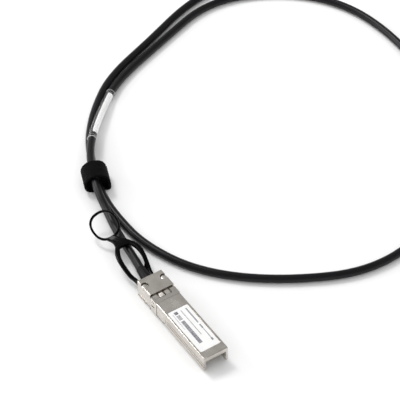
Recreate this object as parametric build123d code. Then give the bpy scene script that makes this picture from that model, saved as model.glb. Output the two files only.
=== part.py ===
from build123d import *
import math
import os

os.makedirs("parts", exist_ok=True)

# Direct attach cable: two pluggable ends joined by about one metre of twin-axial cable.
# Frame of a plug: +Y runs from the nose to the cable, +Z is up, y = 0 is the front of the rear block.

# Body of a plug
NOSE_LENGTH = 47.5
NOSE_WIDTH = 13.55
NOSE_BOTTOM = 0.5
NOSE_TOP = 9.2
BLOCK_STEP = 0.175
BLOCK_LENGTH = 11.6
BLOCK_HEIGHT = 10.4
PARTING_Z = 6.6
WALL = 1.1
FLOOR_END_Y = -37.1
THIN_FLOOR_TOP = 1.6
THICK_FLOOR_TOP = 4.3
THICK_FLOOR_FRONT = -16.0
CORE_SPACE_SIDE = 1.175
CORE_SPACE_TOP = 7.6
CARD_SPACE_TOP = 8.1

# Paddle card
CARD_BOTTOM = 2.75
CARD_THICK = 1.0
CARD_FRONT_Y = -44.3
CARD_STEP_Y = -38.0
CARD_REAR_Y = -18.0
CARD_FRONT_WIDTH = 9.2
CARD_SIDE_CLEARANCE = 0.175
LEDGE_WIDTH = 0.875
PAD_COUNT = 10
PAD_PITCH = 0.8
PAD_WIDTH = 0.6
PAD_LENGTH = 3.6
PAD_THICK = 0.05

# Cable and its seat in the block
CABLE_DIAMETER = 4.3
CABLE_Z = 5.15
CABLE_END_Y = BLOCK_LENGTH - 6.2
BORE_CLEARANCE = 0.05
FERRULE_RADIUS = 3.0
FERRULE_Y = (BLOCK_LENGTH - 6.0, BLOCK_LENGTH - 2.8)
FLANGE_RADIUS = 3.75
FLANGE_Y = (BLOCK_LENGTH - 2.45, BLOCK_LENGTH - 1.35)
SEAT_CLEARANCE = 0.05
BOOT_RADIUS = 2.95
BOOT_END = 13.3
CORE_RADIUS = 0.45
CORE_END_Y = -17.0
CONDUCTOR_END_Y = -20.5

# Release slide
ARM_THICK = 0.35
ARM_OUTER = NOSE_WIDTH / 2 - 0.075
ARM_CLEARANCE = 0.075
ARM_Z = (1.0, 7.2)
ARM_TIP_Y = -13.5
TONGUE_X = 4.4
TONGUE_Z = (3.35, 4.25)
TONGUE_END_Y = BLOCK_LENGTH + 7.0
CROSSBAR_Y = (1.0, 2.2)
CROSSBAR_Z = (1.2, 1.8)
TRAVEL = 2.0

# Latch lever
PIVOT_Y = -14.0
PIVOT_Z = 1.6
PIN_RADIUS = 0.5
PIN_CLEARANCE = 0.05
PIN_HALF = 4.0
LEVER_HALF = 2.2
POCKET_HALF = 2.5
POCKET_FRONT = -15.5
POCKET_REAR = CABLE_END_Y - 0.2
POCKET_TOP = 3.0
TAIL_SPACE_TOP = 3.9
TAIL_SPACE_FRONT = -6.0
BOSS_Y = (-5.1, -2.5)
BOSS_HALF = 1.3
BOSS_BOTTOM = 0.05

# Cover pins
COVER_PIN_X = NOSE_WIDTH / 2 - 1.275
COVER_PIN_Y = BLOCK_LENGTH - 4.6
COVER_PIN_SHAFT = 0.7
COVER_PIN_HEAD = 1.6
COVER_PIN_POCKET = 1.9
POCKET_FLOOR = 8.6

# Spring collar
COLLAR_Y = (-5.5, -0.55)
COLLAR_THICK = 0.15
COLLAR_GAP_HALF = 2.9
RELIEF_DEPTH = 0.4
FINGER_PITCH = 3.3
TOP_FINGERS = 4
SIDE_FINGERS_Z = (3.2, 6.4)
FINGER_WIDTH = 2.3

# Label on the nose
LABEL_LENGTH = 29.2
LABEL_MARGIN = 1.075
LABEL_REAR_Y = -13.73
LABEL_THICK = 0.1
LABEL_RECESS = 0.18
LABEL_CLEARANCE = 0.15
LABEL_CORNER = 0.8

# Pull tab. A station is its distance behind the block, centre x, centre z and half width outside,
# and for the web also its twist about Y.
TAB_THICK = 1.7
TAB_BAR = 1.75
TAB_CORNER = 0.4
ARM_STATIONS = (
    (1.6, 0.0, 3.8, 5.35),
    (5.4, 0.0, 3.8, 5.4),
    (8.9, 0.0, 4.2, 6.3),
    (12.9, 0.2, 5.6, 7.1),
    (16.7, 0.6, 6.7, 7.5),
    (20.4, 1.1, 7.15, 7.35),
    (23.6, 1.5, 7.3, 6.6),
    (26.4, 1.65, 7.3, 5.4),
)
WEB_STATIONS = (
    (25.0, 1.65, 7.3, 5.9, 0.0),
    (27.9, 1.6, 7.25, 4.6, 2.0),
    (30.9, 1.2, 7.05, 3.4, 8.0),
    (33.9, 0.95, 6.7, 3.1, 14.0),
    (36.6, 0.8, 6.4, 3.5, 19.0),
)
RING_CENTRE = (0.65, 43.7, 7.7)
RING_HALF_WIDTH = 7.6
RING_HALF_LENGTH = 8.8
RING_BAND = 1.2
RING_THICK = 1.6
RING_TWIST = 20.0
RING_PITCH = 11.0

# Far plug: place and turn
FAR_PLACE = (216.0, 172.0, 0.0)
FAR_TURN = 60.0

# Cable route between the plugs
ROUTE = [
    (0, CABLE_END_Y, CABLE_Z),
    (0, BLOCK_LENGTH + 3.4, CABLE_Z),
    (2.9, 32, 4.35),
    (5.6, 52, 3.0),
    (8.8, 67, 4.2),
    (10.6, 78.5, 7.2),
    (15.0, 91.5, 8.5),
    (22.2, 106, 8.0),
    (31, 118, 6.85),
    (44.5, 132.5, 4.4),
    (66.5, 152.5, 2.15),
    (108, 168.6, 2.15),
    (150, 184, 2.15),
    (190, 170, 2.15),
    (216, 139, 2.15),
    (222, 98, 2.15),
    (214, 49, 2.15),
    (189, 5, 2.15),
    (150, -32, 2.15),
    (101, -43, 2.15),
    (56, -21.5, 2.15),
    (26, 5.5, 2.15),
    (12.8, 36, 2.15),
    (11.6, 63, 2.3),
    (13.2, 79.5, 3.7),
    (17.6, 93.5, 4.1),
    (23.6, 108.3, 3.2),
    (31.5, 123.2, 2.2),
    (45.5, 140.2, 2.15),
    (66, 158, 2.15),
    (102.5, 172.8, 2.15),
    (135, 187.5, 2.15),
    (163, 192.5, 2.15),
    (187.9, 185.3, 4.35),
    (203, 179.5, CABLE_Z),
    (
        FAR_PLACE[0] - CABLE_END_Y * math.sin(math.radians(FAR_TURN)),
        FAR_PLACE[1] + CABLE_END_Y * math.cos(math.radians(FAR_TURN)),
        CABLE_Z,
    ),
]

# Cable tie: a strap wound round both strands
TIE_FRONT = (14.0, 84.4)
TIE_REAR = (18.65, 96.55)
TIE_WALL = 1.5
TIE_LAP = 0.7
TIE_OUTLINE = (
    (-6.6, 0.0, 0.8),
    (-7.35, 2.6, 3.0),
    (-6.7, 7.6, 4.0),
    (-3.6, 12.2, 3.0),
    (3.2, 12.3, 4.0),
    (6.9, 7.2, 4.0),
    (7.35, 2.4, 3.0),
    (6.6, 0.0, 0.8),
)

# Sleeve and marker on the cable, from the plug end along the route
SLEEVE_SPAN = (119.0, 162.0)
SLEEVE_THICK = 0.25
MARKER_SPAN = (124.0, 160.0)
MARKER_THICK = 0.08
MARKER_CLEARANCE = 0.02


def box(x, y, z):
    """Block between two limits on each axis."""
    centre = ((x[0] + x[1]) / 2, (y[0] + y[1]) / 2, (z[0] + z[1]) / 2)
    return Pos(*centre) * Box(x[1] - x[0], y[1] - y[0], z[1] - z[0])


def rod_y(radius, y, x=0.0, z=CABLE_Z):
    """Round bar along Y."""
    middle = (y[0] + y[1]) / 2
    return Pos(x, middle, z) * Rot(90, 0, 0) * Cylinder(radius, y[1] - y[0])


def rod_x(radius, x, y, z):
    """Round bar along X."""
    middle = (x[0] + x[1]) / 2
    return Pos(middle, y, z) * Rot(0, 90, 0) * Cylinder(radius, x[1] - x[0])


def strip_x(points, half):
    """Outline in the YZ plane, as thick as the given half width on both sides of x = 0."""
    face = Plane.YZ * make_face(Polyline(*points, close=True))
    return extrude(face, half, both=True)


def rounded_outline(points, radii):
    """Closed outline whose corners are rounded each with its own radius."""
    face = make_face(Polyline(*points, close=True))
    for point, radius in zip(points, radii):
        corner = face.vertices().sort_by_distance((point[0], point[1], 0))[0]
        face = fillet(corner, radius)
    return face


def both_sides(solid):
    """The solid and its mirror image across x = 0."""
    return [solid, mirror(solid, Plane.YZ)]


half_nose = NOSE_WIDTH / 2
half_block = half_nose + BLOCK_STEP
inner = half_nose - WALL
core_half = inner - CORE_SPACE_SIDE
fingers_x = [(i - (TOP_FINGERS - 1) / 2) * FINGER_PITCH for i in range(TOP_FINGERS)]
label_width = NOSE_WIDTH - 2 * LABEL_MARGIN
label_middle = LABEL_REAR_Y - LABEL_LENGTH / 2
card_top = CARD_BOTTOM + CARD_THICK


def seats():
    """Space that ferrule, boot flange and boot neck take in the block."""
    tool = rod_y(FERRULE_RADIUS, (CABLE_END_Y - 0.2, FLANGE_Y[0] - 0.05))
    tool += rod_y(FLANGE_RADIUS + SEAT_CLEARANCE, (FLANGE_Y[0] - 0.05, FLANGE_Y[1] + 0.05))
    tool += rod_y(BOOT_RADIUS + SEAT_CLEARANCE, (FLANGE_Y[0], BLOCK_LENGTH + 1))
    return tool


def arm_channels():
    """Shallow channels along both sides in which the slide's arms run."""
    floor_x = ARM_OUTER - ARM_THICK - ARM_CLEARANCE
    z = (ARM_Z[0] - 0.1, ARM_Z[1] + 0.1)
    channel = box((floor_x, half_block + 1), (ARM_TIP_Y - 0.1, BLOCK_LENGTH + 1), z)
    return both_sides(channel)


def pin_holes():
    """Bores and head pockets of the two cover pins."""
    tools = []
    for x in (-COVER_PIN_X, COVER_PIN_X):
        shaft = Pos(x, COVER_PIN_Y, 5.6) * Cylinder(COVER_PIN_SHAFT, 7.2)
        pocket_height = BLOCK_HEIGHT + 1 - POCKET_FLOOR
        pocket = Pos(x, COVER_PIN_Y, POCKET_FLOOR + pocket_height / 2)
        tools.append(shaft + pocket * Cylinder(COVER_PIN_POCKET, pocket_height))
    return tools


def base_shell():
    """Lower half of the die-cast body."""
    body = box((-half_nose, half_nose), (-NOSE_LENGTH, 0), (NOSE_BOTTOM, PARTING_Z))
    body += box((-half_block, half_block), (0, BLOCK_LENGTH), (0, PARTING_Z))
    card_y = (-NOSE_LENGTH - 1, THICK_FLOOR_FRONT)
    body -= box((-inner, inner), card_y, (THIN_FLOOR_TOP, PARTING_Z + 1))
    body -= box((-inner, inner), (-NOSE_LENGTH - 1, FLOOR_END_Y), (-1, PARTING_Z + 1))
    core_y = (THICK_FLOOR_FRONT - 1, CABLE_END_Y)
    body -= box((-core_half, core_half), core_y, (THICK_FLOOR_TOP, PARTING_Z + 1))
    ledge = box((inner - LEDGE_WIDTH, inner), (FLOOR_END_Y, CARD_REAR_Y), (THIN_FLOOR_TOP, CARD_BOTTOM))
    for side in both_sides(ledge):
        body += side
    body -= box((-POCKET_HALF, POCKET_HALF), (POCKET_FRONT, POCKET_REAR), (-1, POCKET_TOP))
    tail_y = (TAIL_SPACE_FRONT, POCKET_REAR)
    body -= box((-POCKET_HALF, POCKET_HALF), tail_y, (-1, TAIL_SPACE_TOP))
    bar_y = (CROSSBAR_Y[0] - 0.3, CROSSBAR_Y[1] + TRAVEL + 0.3)
    body -= box((-half_block - 1, half_block + 1), bar_y, (-1, CROSSBAR_Z[1] + 0.2))
    body -= rod_x(PIN_RADIUS, (-PIN_HALF, PIN_HALF), PIVOT_Y, PIVOT_Z)
    body -= seats()
    for tool in arm_channels() + pin_holes():
        body -= tool
    # Two lengthwise grooves on each side ahead of the slide's arms
    for z in (3.2, 4.9):
        groove_y = (-NOSE_LENGTH - 1, ARM_TIP_Y - 1.5)
        groove = box((half_nose - 0.15, half_nose + 1), groove_y, (z - 0.15, z + 0.15))
        for side in both_sides(groove):
            body -= side
    return body


def cover_shell():
    """Upper half of the die-cast body."""
    nose = box((-half_nose, half_nose), (-NOSE_LENGTH, 0.5), (PARTING_Z, NOSE_TOP))
    top_edges = nose.edges().group_by(Axis.Z)[-1]
    nose = fillet(top_edges.filter_by(Axis.Y), 0.4)
    front = nose.edges().group_by(Axis.Y)[0].sort_by(Axis.Z)[-1]
    nose = fillet(front, 0.9)
    block = box((-half_block, half_block), (0, BLOCK_LENGTH), (PARTING_Z, BLOCK_HEIGHT))
    block = chamfer(block.edges().group_by(Axis.Z)[-1], 0.3)
    body = nose + block
    card_y = (-NOSE_LENGTH - 1, THICK_FLOOR_FRONT)
    body -= box((-inner, inner), card_y, (PARTING_Z - 1, CARD_SPACE_TOP))
    core_y = (THICK_FLOOR_FRONT - 1, CABLE_END_Y)
    body -= box((-core_half, core_half), core_y, (PARTING_Z - 1, CORE_SPACE_TOP))
    body -= seats()
    for tool in arm_channels() + pin_holes():
        body -= tool
    # Relief between the collar and the block, and the label's recess
    relief_z = (NOSE_TOP - RELIEF_DEPTH, NOSE_TOP + 1)
    body -= box((-half_nose - 1, half_nose + 1), (COLLAR_Y[1], 0), relief_z)
    recess = RectangleRounded(
        label_width + 2 * LABEL_CLEARANCE,
        LABEL_LENGTH + 2 * LABEL_CLEARANCE,
        LABEL_CORNER + LABEL_CLEARANCE,
    )
    body -= Pos(0, label_middle, NOSE_TOP - LABEL_RECESS) * extrude(recess, 2)
    return body


def spring_collar():
    """Thin sheet sleeve round the nose with bowed contact fingers."""
    t = COLLAR_THICK
    collar = box((-half_nose - t, half_nose + t), COLLAR_Y, (NOSE_BOTTOM - t, NOSE_TOP + t))
    around = (COLLAR_Y[0] - 1, COLLAR_Y[1] + 1)
    collar -= box((-half_nose, half_nose), around, (NOSE_BOTTOM, NOSE_TOP))
    collar -= box((-COLLAR_GAP_HALF, COLLAR_GAP_HALF), around, (-1, 2))
    rise = 0.5
    front = COLLAR_Y[0] + 0.4
    peak = COLLAR_Y[1] - 1.4
    rear = COLLAR_Y[1] - 0.1
    bow = ((front, 0), (peak, rise), (rear, 0.15), (rear, 0.15 + t), (peak, rise + t), (front, t))
    half = FINGER_WIDTH / 2
    top = [(y, NOSE_TOP + t + h - 0.05) for y, h in bow]
    for x in fingers_x:
        collar += Pos(x, 0, 0) * strip_x(top, half)
    for z in SIDE_FINGERS_Z:
        outline = [(half_nose + t + h * 0.7 - 0.05, y) for y, h in bow]
        side = extrude(make_face(Polyline(*outline, close=True)), half, both=True)
        for finger in both_sides(Pos(0, 0, z) * side):
            collar += finger
    low = [(y, NOSE_BOTTOM - t - h * 0.4 + 0.05) for y, h in bow]
    for x in (fingers_x[0], fingers_x[-1]):
        collar += Pos(x, 0, 0) * strip_x(low, half)
    return collar


def release_slide():
    """Sheet slide: two side arms, a crossbar under the floor and two tongues for the tab."""
    x = (ARM_OUTER - ARM_THICK, ARM_OUTER)
    arm = box(x, (ARM_TIP_Y, BLOCK_LENGTH + 0.3), ARM_Z)
    tip = arm.edges().filter_by(Axis.X).group_by(Axis.Y)[0]
    arm = fillet(tip, 2.6)
    y0 = BLOCK_LENGTH - 0.3
    outline = (
        (x[0], y0),
        (x[1], y0),
        (x[1], BLOCK_LENGTH + 0.35),
        (TONGUE_X + ARM_THICK / 2, BLOCK_LENGTH + 2.5),
        (TONGUE_X + ARM_THICK / 2, TONGUE_END_Y),
        (TONGUE_X - ARM_THICK / 2, TONGUE_END_Y),
        (TONGUE_X - ARM_THICK / 2, BLOCK_LENGTH + 2.35),
        (x[0], BLOCK_LENGTH + 0.2),
    )
    tongue = extrude(make_face(Polyline(*outline, close=True)), TONGUE_Z[1] - TONGUE_Z[0])
    arm += Pos(0, 0, TONGUE_Z[0]) * tongue
    slide = Part() + both_sides(arm)
    slide += box((-ARM_OUTER + 0.1, ARM_OUTER - 0.1), CROSSBAR_Y, CROSSBAR_Z)
    return slide


def latch_lever():
    """Rocking latch whose boss catches in the host's cage."""
    outline = (
        (PIVOT_Y, 1.1),
        (0.6, 1.1),
        (0.6, 1.9),
        (2.2, 1.9),
        (4.2, 1.0),
        (POCKET_REAR - 0.3, 1.0),
        (POCKET_REAR - 0.3, 2.8),
        (0.0, 2.8),
        (-0.8, 2.1),
        (PIVOT_Y, 2.1),
    )
    lever = strip_x(outline, LEVER_HALF)
    lever += rod_x(0.95, (-LEVER_HALF, LEVER_HALF), PIVOT_Y, PIVOT_Z)
    boss = box((-BOSS_HALF, BOSS_HALF), BOSS_Y, (BOSS_BOTTOM, 1.5))
    front = boss.edges().filter_by(Axis.X).group_by(Axis.Y)[0].sort_by(Axis.Z)[0]
    lever += chamfer(front, 0.7)
    lever -= rod_x(PIN_RADIUS + PIN_CLEARANCE, (-3, 3), PIVOT_Y, PIVOT_Z)
    return lever


def return_spring():
    """Waved leaf between the pocket's ceiling and the lever."""
    t = 0.12
    low = 2.13
    high = POCKET_TOP
    wave = ((-12.4, high), (-11.0, low + t), (-9.5, high), (-8.0, low + t), (-6.6, high))
    lower = [(y, z - t) for y, z in reversed(wave)]
    return strip_x(list(wave) + lower, 1.4)


def paddle_card():
    """Printed card that plugs into the host's socket."""
    z = (CARD_BOTTOM, card_top)
    front = CARD_FRONT_WIDTH / 2
    rear = inner - CARD_SIDE_CLEARANCE
    card = box((-front, front), (CARD_FRONT_Y, CARD_STEP_Y + 0.5), z)
    card = chamfer(card.edges().filter_by(Axis.X).group_by(Axis.Y)[0], 0.25)
    card += box((-rear, rear), (CARD_STEP_Y, CARD_REAR_Y), z)
    return card


def contact_pads():
    """Gold contacts on both faces of the card's front edge."""
    pads = []
    y = (CARD_FRONT_Y + 0.5, CARD_FRONT_Y + 0.5 + PAD_LENGTH)
    for i in range(PAD_COUNT):
        x = (i - (PAD_COUNT - 1) / 2) * PAD_PITCH
        across = (x - PAD_WIDTH / 2, x + PAD_WIDTH / 2)
        pads.append(box(across, y, (card_top, card_top + PAD_THICK)))
        pads.append(box(across, y, (CARD_BOTTOM - PAD_THICK, CARD_BOTTOM)))
    return Compound(children=pads)


CORE_PLACES = ((-1, 4.85, -3.0), (-1, 5.8, -1.9), (1, 5.8, 1.9), (1, 4.85, 3.0))


def twinax_cores():
    """Insulated conductors from the cable's end to the card."""
    cores = []
    for side, z, x_end in CORE_PLACES:
        x = 0.55 * side
        z_end = THICK_FLOOR_TOP + CORE_RADIUS + 0.1
        points = [(x, CABLE_END_Y, z), (x, 2.0, z), (x_end, -9.0, z_end), (x_end, CORE_END_Y, z_end)]
        start = Plane(origin=points[0], z_dir=(0, -1, 0))
        core = sweep(start * Circle(CORE_RADIUS), path=Polyline(*points), transition=Transition.RIGHT)
        cores.append(core)
    return Compound(children=cores)


def conductor_ends():
    """Bare ends of the conductors, bent down and soldered on the card."""
    z = THICK_FLOOR_TOP + CORE_RADIUS + 0.1
    outline = (
        (CORE_END_Y, z + 0.15),
        (CORE_END_Y, z - 0.15),
        (CARD_REAR_Y - 0.3, card_top),
        (CONDUCTOR_END_Y, card_top),
        (CONDUCTOR_END_Y, card_top + 0.3),
        (CARD_REAR_Y - 0.4, card_top + 0.3),
    )
    return Compound(children=[Pos(x, 0, 0) * strip_x(outline, 0.18) for _, _, x in CORE_PLACES])


def tab_section(width):
    """Section of the moulded tab: a bar with bevelled corners."""
    face = Rectangle(width, TAB_THICK)
    return chamfer(face.vertices(), TAB_CORNER)


def pull_tab(lean):
    """Moulded pull tab: two arms, a web and a finger ring in one piece."""
    tab = Part()
    for side in (-1, 1):
        sections = []
        for y, x, z, half in ARM_STATIONS:
            centre = (lean * x + side * (half - TAB_BAR / 2), BLOCK_LENGTH + y, z)
            place = Plane(origin=centre, z_dir=(0, 1, 0), x_dir=(1, 0, 0))
            sections.append(place * tab_section(TAB_BAR))
        tab += loft(sections, ruled=True)
    sections = []
    for y, x, z, half, twist in WEB_STATIONS:
        angle = math.radians(twist * lean)
        across = (math.cos(angle), 0, math.sin(angle))
        place = Plane(origin=(lean * x, BLOCK_LENGTH + y, z), z_dir=(0, 1, 0), x_dir=across)
        sections.append(place * tab_section(2 * half))
    tab += loft(sections, ruled=True)
    ring = Ellipse(RING_HALF_WIDTH, RING_HALF_LENGTH)
    hole = Ellipse(RING_HALF_WIDTH - RING_BAND, RING_HALF_LENGTH - RING_BAND)
    hoop = extrude(ring - hole, RING_THICK / 2, both=True)
    hoop = chamfer(hoop.edges().filter_by(GeomType.ELLIPSE), 0.35)
    turned = Rot(RING_PITCH, 0, 0) * Rot(0, -RING_TWIST * lean, 0) * hoop
    tab += Pos(lean * RING_CENTRE[0], BLOCK_LENGTH + RING_CENTRE[1], RING_CENTRE[2]) * turned
    return tab


radius_list = []
for before, here, after in zip(ROUTE, ROUTE[1:], ROUTE[2:]):
    first = Vector(*here) - Vector(*before)
    second = Vector(*after) - Vector(*here)
    turn = math.radians(first.get_angle(second))
    radius_list.append(0.45 * min(first.length, second.length) / math.tan(turn / 2))
print("cable radii", [round(r, 1) for r in radius_list])
route = FilletPolyline(*ROUTE, radius=radius_list)


def along(start, end):
    """The part of the cable's route between two lengths from its beginning."""
    return route.trim(start / route.length, end / route.length)


def tube(path, outer, bore=0.0):
    """Round tube swept along a path."""
    start = Plane(origin=path @ 0, z_dir=path % 0)
    solid = sweep(start * Circle(outer), path=path)
    if bore:
        solid -= sweep(start * Circle(bore), path=path)
    return solid


def boot():
    """Strain relief with a flange held in the block."""
    cable_bore = CABLE_DIAMETER / 2 + BORE_CLEARANCE
    flange = rod_y(FLANGE_RADIUS, FLANGE_Y) - rod_y(cable_bore, (0, 20))
    begin = FLANGE_Y[0] + 0.3 - CABLE_END_Y
    return flange + tube(along(begin, BOOT_END), BOOT_RADIUS, cable_bore)


def plug(prefix, place, lean):
    """Writes every piece of one plug, moved to its place."""
    neck = boot()
    if lean < 0:
        neck = mirror(neck, Plane.YZ)
    pins = []
    for x in (-COVER_PIN_X, COVER_PIN_X):
        shaft = Pos(x, COVER_PIN_Y, (2.0 + POCKET_FLOOR) / 2) * Cylinder(COVER_PIN_SHAFT, POCKET_FLOOR - 2.0)
        pins.append(shaft + Pos(x, COVER_PIN_Y, POCKET_FLOOR + 0.55) * Cylinder(COVER_PIN_HEAD, 1.1))
    cable_bore = CABLE_DIAMETER / 2 + BORE_CLEARANCE
    label_face = RectangleRounded(label_width, LABEL_LENGTH, LABEL_CORNER)
    chip = box((-1.5, 1.5), (-29.5, -26.5), (card_top, card_top + 0.9))
    pieces = {
        "base_shell": base_shell(),
        "cover_shell": cover_shell(),
        "spring_collar": spring_collar(),
        "release_slide": release_slide(),
        "pull_tab": pull_tab(lean),
        "latch_lever": latch_lever(),
        "pivot_pin": rod_x(PIN_RADIUS, (-PIN_HALF, PIN_HALF), PIVOT_Y, PIVOT_Z),
        "return_spring": return_spring(),
        "paddle_card": paddle_card(),
        "contact_pads": contact_pads(),
        "memory_chip": chip,
        "twinax_cores": twinax_cores(),
        "conductor_ends": conductor_ends(),
        "ferrule": rod_y(FERRULE_RADIUS, FERRULE_Y) - rod_y(cable_bore, (0, 20)),
        "boot": neck,
        "cover_pins": Compound(children=pins),
        "label": Pos(0, label_middle, NOSE_TOP - LABEL_RECESS) * extrude(label_face, LABEL_THICK),
    }
    pieces["pull_tab"] -= pieces["release_slide"]
    for name, solid in pieces.items():
        export_step(place * solid, f"parts/{prefix}_{name}.step")
        print(prefix, name, round(solid.volume, 2), len(solid.solids()))


def tie():
    """Soft strap wound round both strands, its end lapped over the right side."""
    along_axis = Vector(TIE_REAR[0] - TIE_FRONT[0], TIE_REAR[1] - TIE_FRONT[1], 0)
    direction = along_axis.normalized()
    across = Vector(direction.Y, -direction.X, 0)
    place = Plane(origin=(TIE_FRONT[0], TIE_FRONT[1], 0), x_dir=across, z_dir=direction * -1)
    outer = rounded_outline([(u, z) for u, z, r in TIE_OUTLINE], [r for u, z, r in TIE_OUTLINE])
    hole = offset(outer, -TIE_WALL)
    lap = offset(outer, TIE_LAP) - outer
    lap &= Pos(14.6, 12.0) * Rectangle(20, 16)
    profile = outer - hole + lap
    return extrude(place * profile, -along_axis.length)


plug("plug_a", Location((0, 0, 0)), 1)
plug("plug_b", Location(FAR_PLACE, (0, 0, FAR_TURN)), -1)

cable = tube(route, CABLE_DIAMETER / 2)
ideal = math.pi * CABLE_DIAMETER**2 / 4 * route.length
print("cable length", round(route.length, 1), "volume", round(cable.volume, 1), "section x length", round(ideal, 1))
export_step(cable, "parts/cable.step")

marker_bore = CABLE_DIAMETER / 2 + MARKER_CLEARANCE
marker = tube(along(*MARKER_SPAN), marker_bore + MARKER_THICK, marker_bore)
export_step(marker, "parts/wire_label.step")
sleeve_bore = marker_bore + MARKER_THICK + MARKER_CLEARANCE
sleeve = tube(along(*SLEEVE_SPAN), sleeve_bore + SLEEVE_THICK, sleeve_bore)
export_step(sleeve, "parts/label_sleeve.step")
strap = tie()
export_step(strap, "parts/tie.step")
print("tie", strap.bounding_box(), len(strap.solids()))
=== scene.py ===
import math

import bmesh
import bpy
from mathutils import Matrix, Vector


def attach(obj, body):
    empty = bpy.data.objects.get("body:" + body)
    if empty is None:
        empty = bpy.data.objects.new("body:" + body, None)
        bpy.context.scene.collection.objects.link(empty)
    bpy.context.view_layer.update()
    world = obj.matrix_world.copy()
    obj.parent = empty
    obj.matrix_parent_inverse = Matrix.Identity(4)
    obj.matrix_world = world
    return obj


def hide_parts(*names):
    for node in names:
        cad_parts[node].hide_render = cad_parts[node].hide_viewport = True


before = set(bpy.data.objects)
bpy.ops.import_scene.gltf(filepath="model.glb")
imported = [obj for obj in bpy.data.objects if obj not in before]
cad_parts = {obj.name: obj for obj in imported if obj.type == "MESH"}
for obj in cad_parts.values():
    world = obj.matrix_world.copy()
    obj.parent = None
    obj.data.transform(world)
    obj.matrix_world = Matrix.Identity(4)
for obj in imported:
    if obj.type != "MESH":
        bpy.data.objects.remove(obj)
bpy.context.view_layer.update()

# Lengths below are in millimetres unless a comment says metres
MM = 0.001
PLUGS = ("plug_a", "plug_b")
# The first plug stands at the origin. The second stands at the cable's far end, in metres and degrees
FAR_PLACE = (0.216, 0.172, 0)
FAR_TURN = 60
PLACE = {
    "plug_a": Matrix.Identity(4),
    "plug_b": Matrix.Translation(FAR_PLACE) @ Matrix.Rotation(math.radians(FAR_TURN), 4, "Z"),
}
# The side to which each plug's cable and tab lean
LEAN = {"plug_a": 1, "plug_b": -1}


# Materials

# Where the two tones of a colour and the two degrees of gloss are reached on the noise of the patches
TONE_ENDS = (0.35, 0.65)
GLOSS_ENDS = (0.3, 0.7)
SHEEN_ROUGHNESS = 0.4
# The ripples in the clear sleeve
RIPPLE_MM = 3.846
RIPPLE_DEPTH_MM = 0.03


def linear(hex_value):
    """An sRGB hex colour as linear RGBA."""
    out = []
    for i in (0, 2, 4):
        c = int(hex_value[i : i + 2], 16) / 255
        out.append(c / 12.92 if c <= 0.04045 else ((c + 0.055) / 1.055) ** 2.4)
    return (*out, 1.0)


def grey(value):
    """A grey of the given linear value."""
    return (value, value, value, 1.0)


def node(tree, kind, values=(), links=(), **settings):
    """Adds one node with its settings, the values of its sockets and the links into them."""
    made = tree.nodes.new(kind)
    for name, value in settings.items():
        setattr(made, name, value)
    for socket, value in dict(values).items():
        made.inputs[socket].default_value = value
    for socket, source in dict(links).items():
        tree.links.new(source, made.inputs[socket])
    return made


def new_material(name):
    """An empty material with its node tree and its output node."""
    made = bpy.data.materials.new(name)
    made.use_nodes = True
    made.node_tree.nodes.clear()
    return made, made.node_tree, made.node_tree.nodes.new("ShaderNodeOutputMaterial")


def ramp(tree, source, stops):
    """A colour ramp over a value; stops are pairs of place and colour."""
    made = node(tree, "ShaderNodeValToRGB", links={"Fac": source})
    elements = made.color_ramp.elements
    while len(elements) < len(stops):
        elements.new(0.5)
    for element, (place, colour) in zip(elements, stops):
        element.position = place
        element.color = colour
    return made.outputs["Color"]


def surface_material(
    name, colours, roughness, grain_mm, bump_mm, metallic=0.0, specular=0.5, patch_mm=6.0, sheen=0.0
):
    """A material whose colour drifts between two tones in patches and whose skin has a fine grain."""
    made, tree, out = new_material(name)
    where = node(tree, "ShaderNodeTexCoord").outputs["Object"]
    patch = node(tree, "ShaderNodeTexNoise", {"Scale": 1000 / patch_mm, "Detail": 3.0}, {"Vector": where})
    grain = node(tree, "ShaderNodeTexNoise", {"Scale": 1000 / grain_mm, "Detail": 2.0}, {"Vector": where})
    tones = zip(TONE_ENDS, map(linear, colours))
    colour = ramp(tree, patch.outputs["Fac"], tuple(tones))
    gloss = ramp(tree, patch.outputs["Fac"], tuple(zip(GLOSS_ENDS, map(grey, roughness))))
    bump = node(
        tree,
        "ShaderNodeBump",
        {"Strength": 1.0, "Distance": bump_mm * MM},
        {"Height": grain.outputs["Fac"]},
    )
    shader = node(
        tree,
        "ShaderNodeBsdfPrincipled",
        {
            "Metallic": metallic,
            "Specular IOR Level": specular,
            "Sheen Weight": sheen,
            "Sheen Roughness": SHEEN_ROUGHNESS,
        },
        {"Base Color": colour, "Roughness": gloss, "Normal": bump.outputs["Normal"]},
    )
    tree.links.new(shader.outputs["BSDF"], out.inputs["Surface"])
    return made


# Zinc casting plated with satin nickel: a warm grey metal, softly mirrored, with a faint cast grain
cast_nickel = surface_material(
    "satin nickel on zinc casting", ("ccc6be", "d4cfc8"), (0.22, 0.29), 0.25, 0.003, metallic=1.0
)
# Rolled steel sheet, nickel plated: the same grey, smoother
nickel_sheet = surface_material(
    "nickel plated steel sheet", ("d2cdc6", "dad6d0"), (0.24, 0.32), 0.4, 0.002, metallic=1.0
)
# Thin spring strip, bright plated: the lightest and sharpest mirror on the plug
spring_strip = surface_material(
    "bright plated spring strip", ("d6d1ca", "dedad4"), (0.16, 0.24), 0.5, 0.001, metallic=1.0
)
# Satin black nylon moulding of the pull tab: deep black with narrow highlights
black_nylon = surface_material(
    "black moulded nylon", ("010101", "030303"), (0.17, 0.22), 0.12, 0.002, specular=0.1
)
# Softer black elastomer of the strain relief: a broad, dull shine
black_elastomer = surface_material(
    "black elastomer", ("060506", "0a080a"), (0.4, 0.5), 0.15, 0.006, specular=0.16
)
# Extruded black PVC jacket, satin: one long soft highlight along the cable
black_jacket = surface_material(
    "black PVC jacket", ("09080b", "0e0d11"), (0.33, 0.4), 0.3, 0.005, specular=0.26, patch_mm=9.0
)
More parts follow.
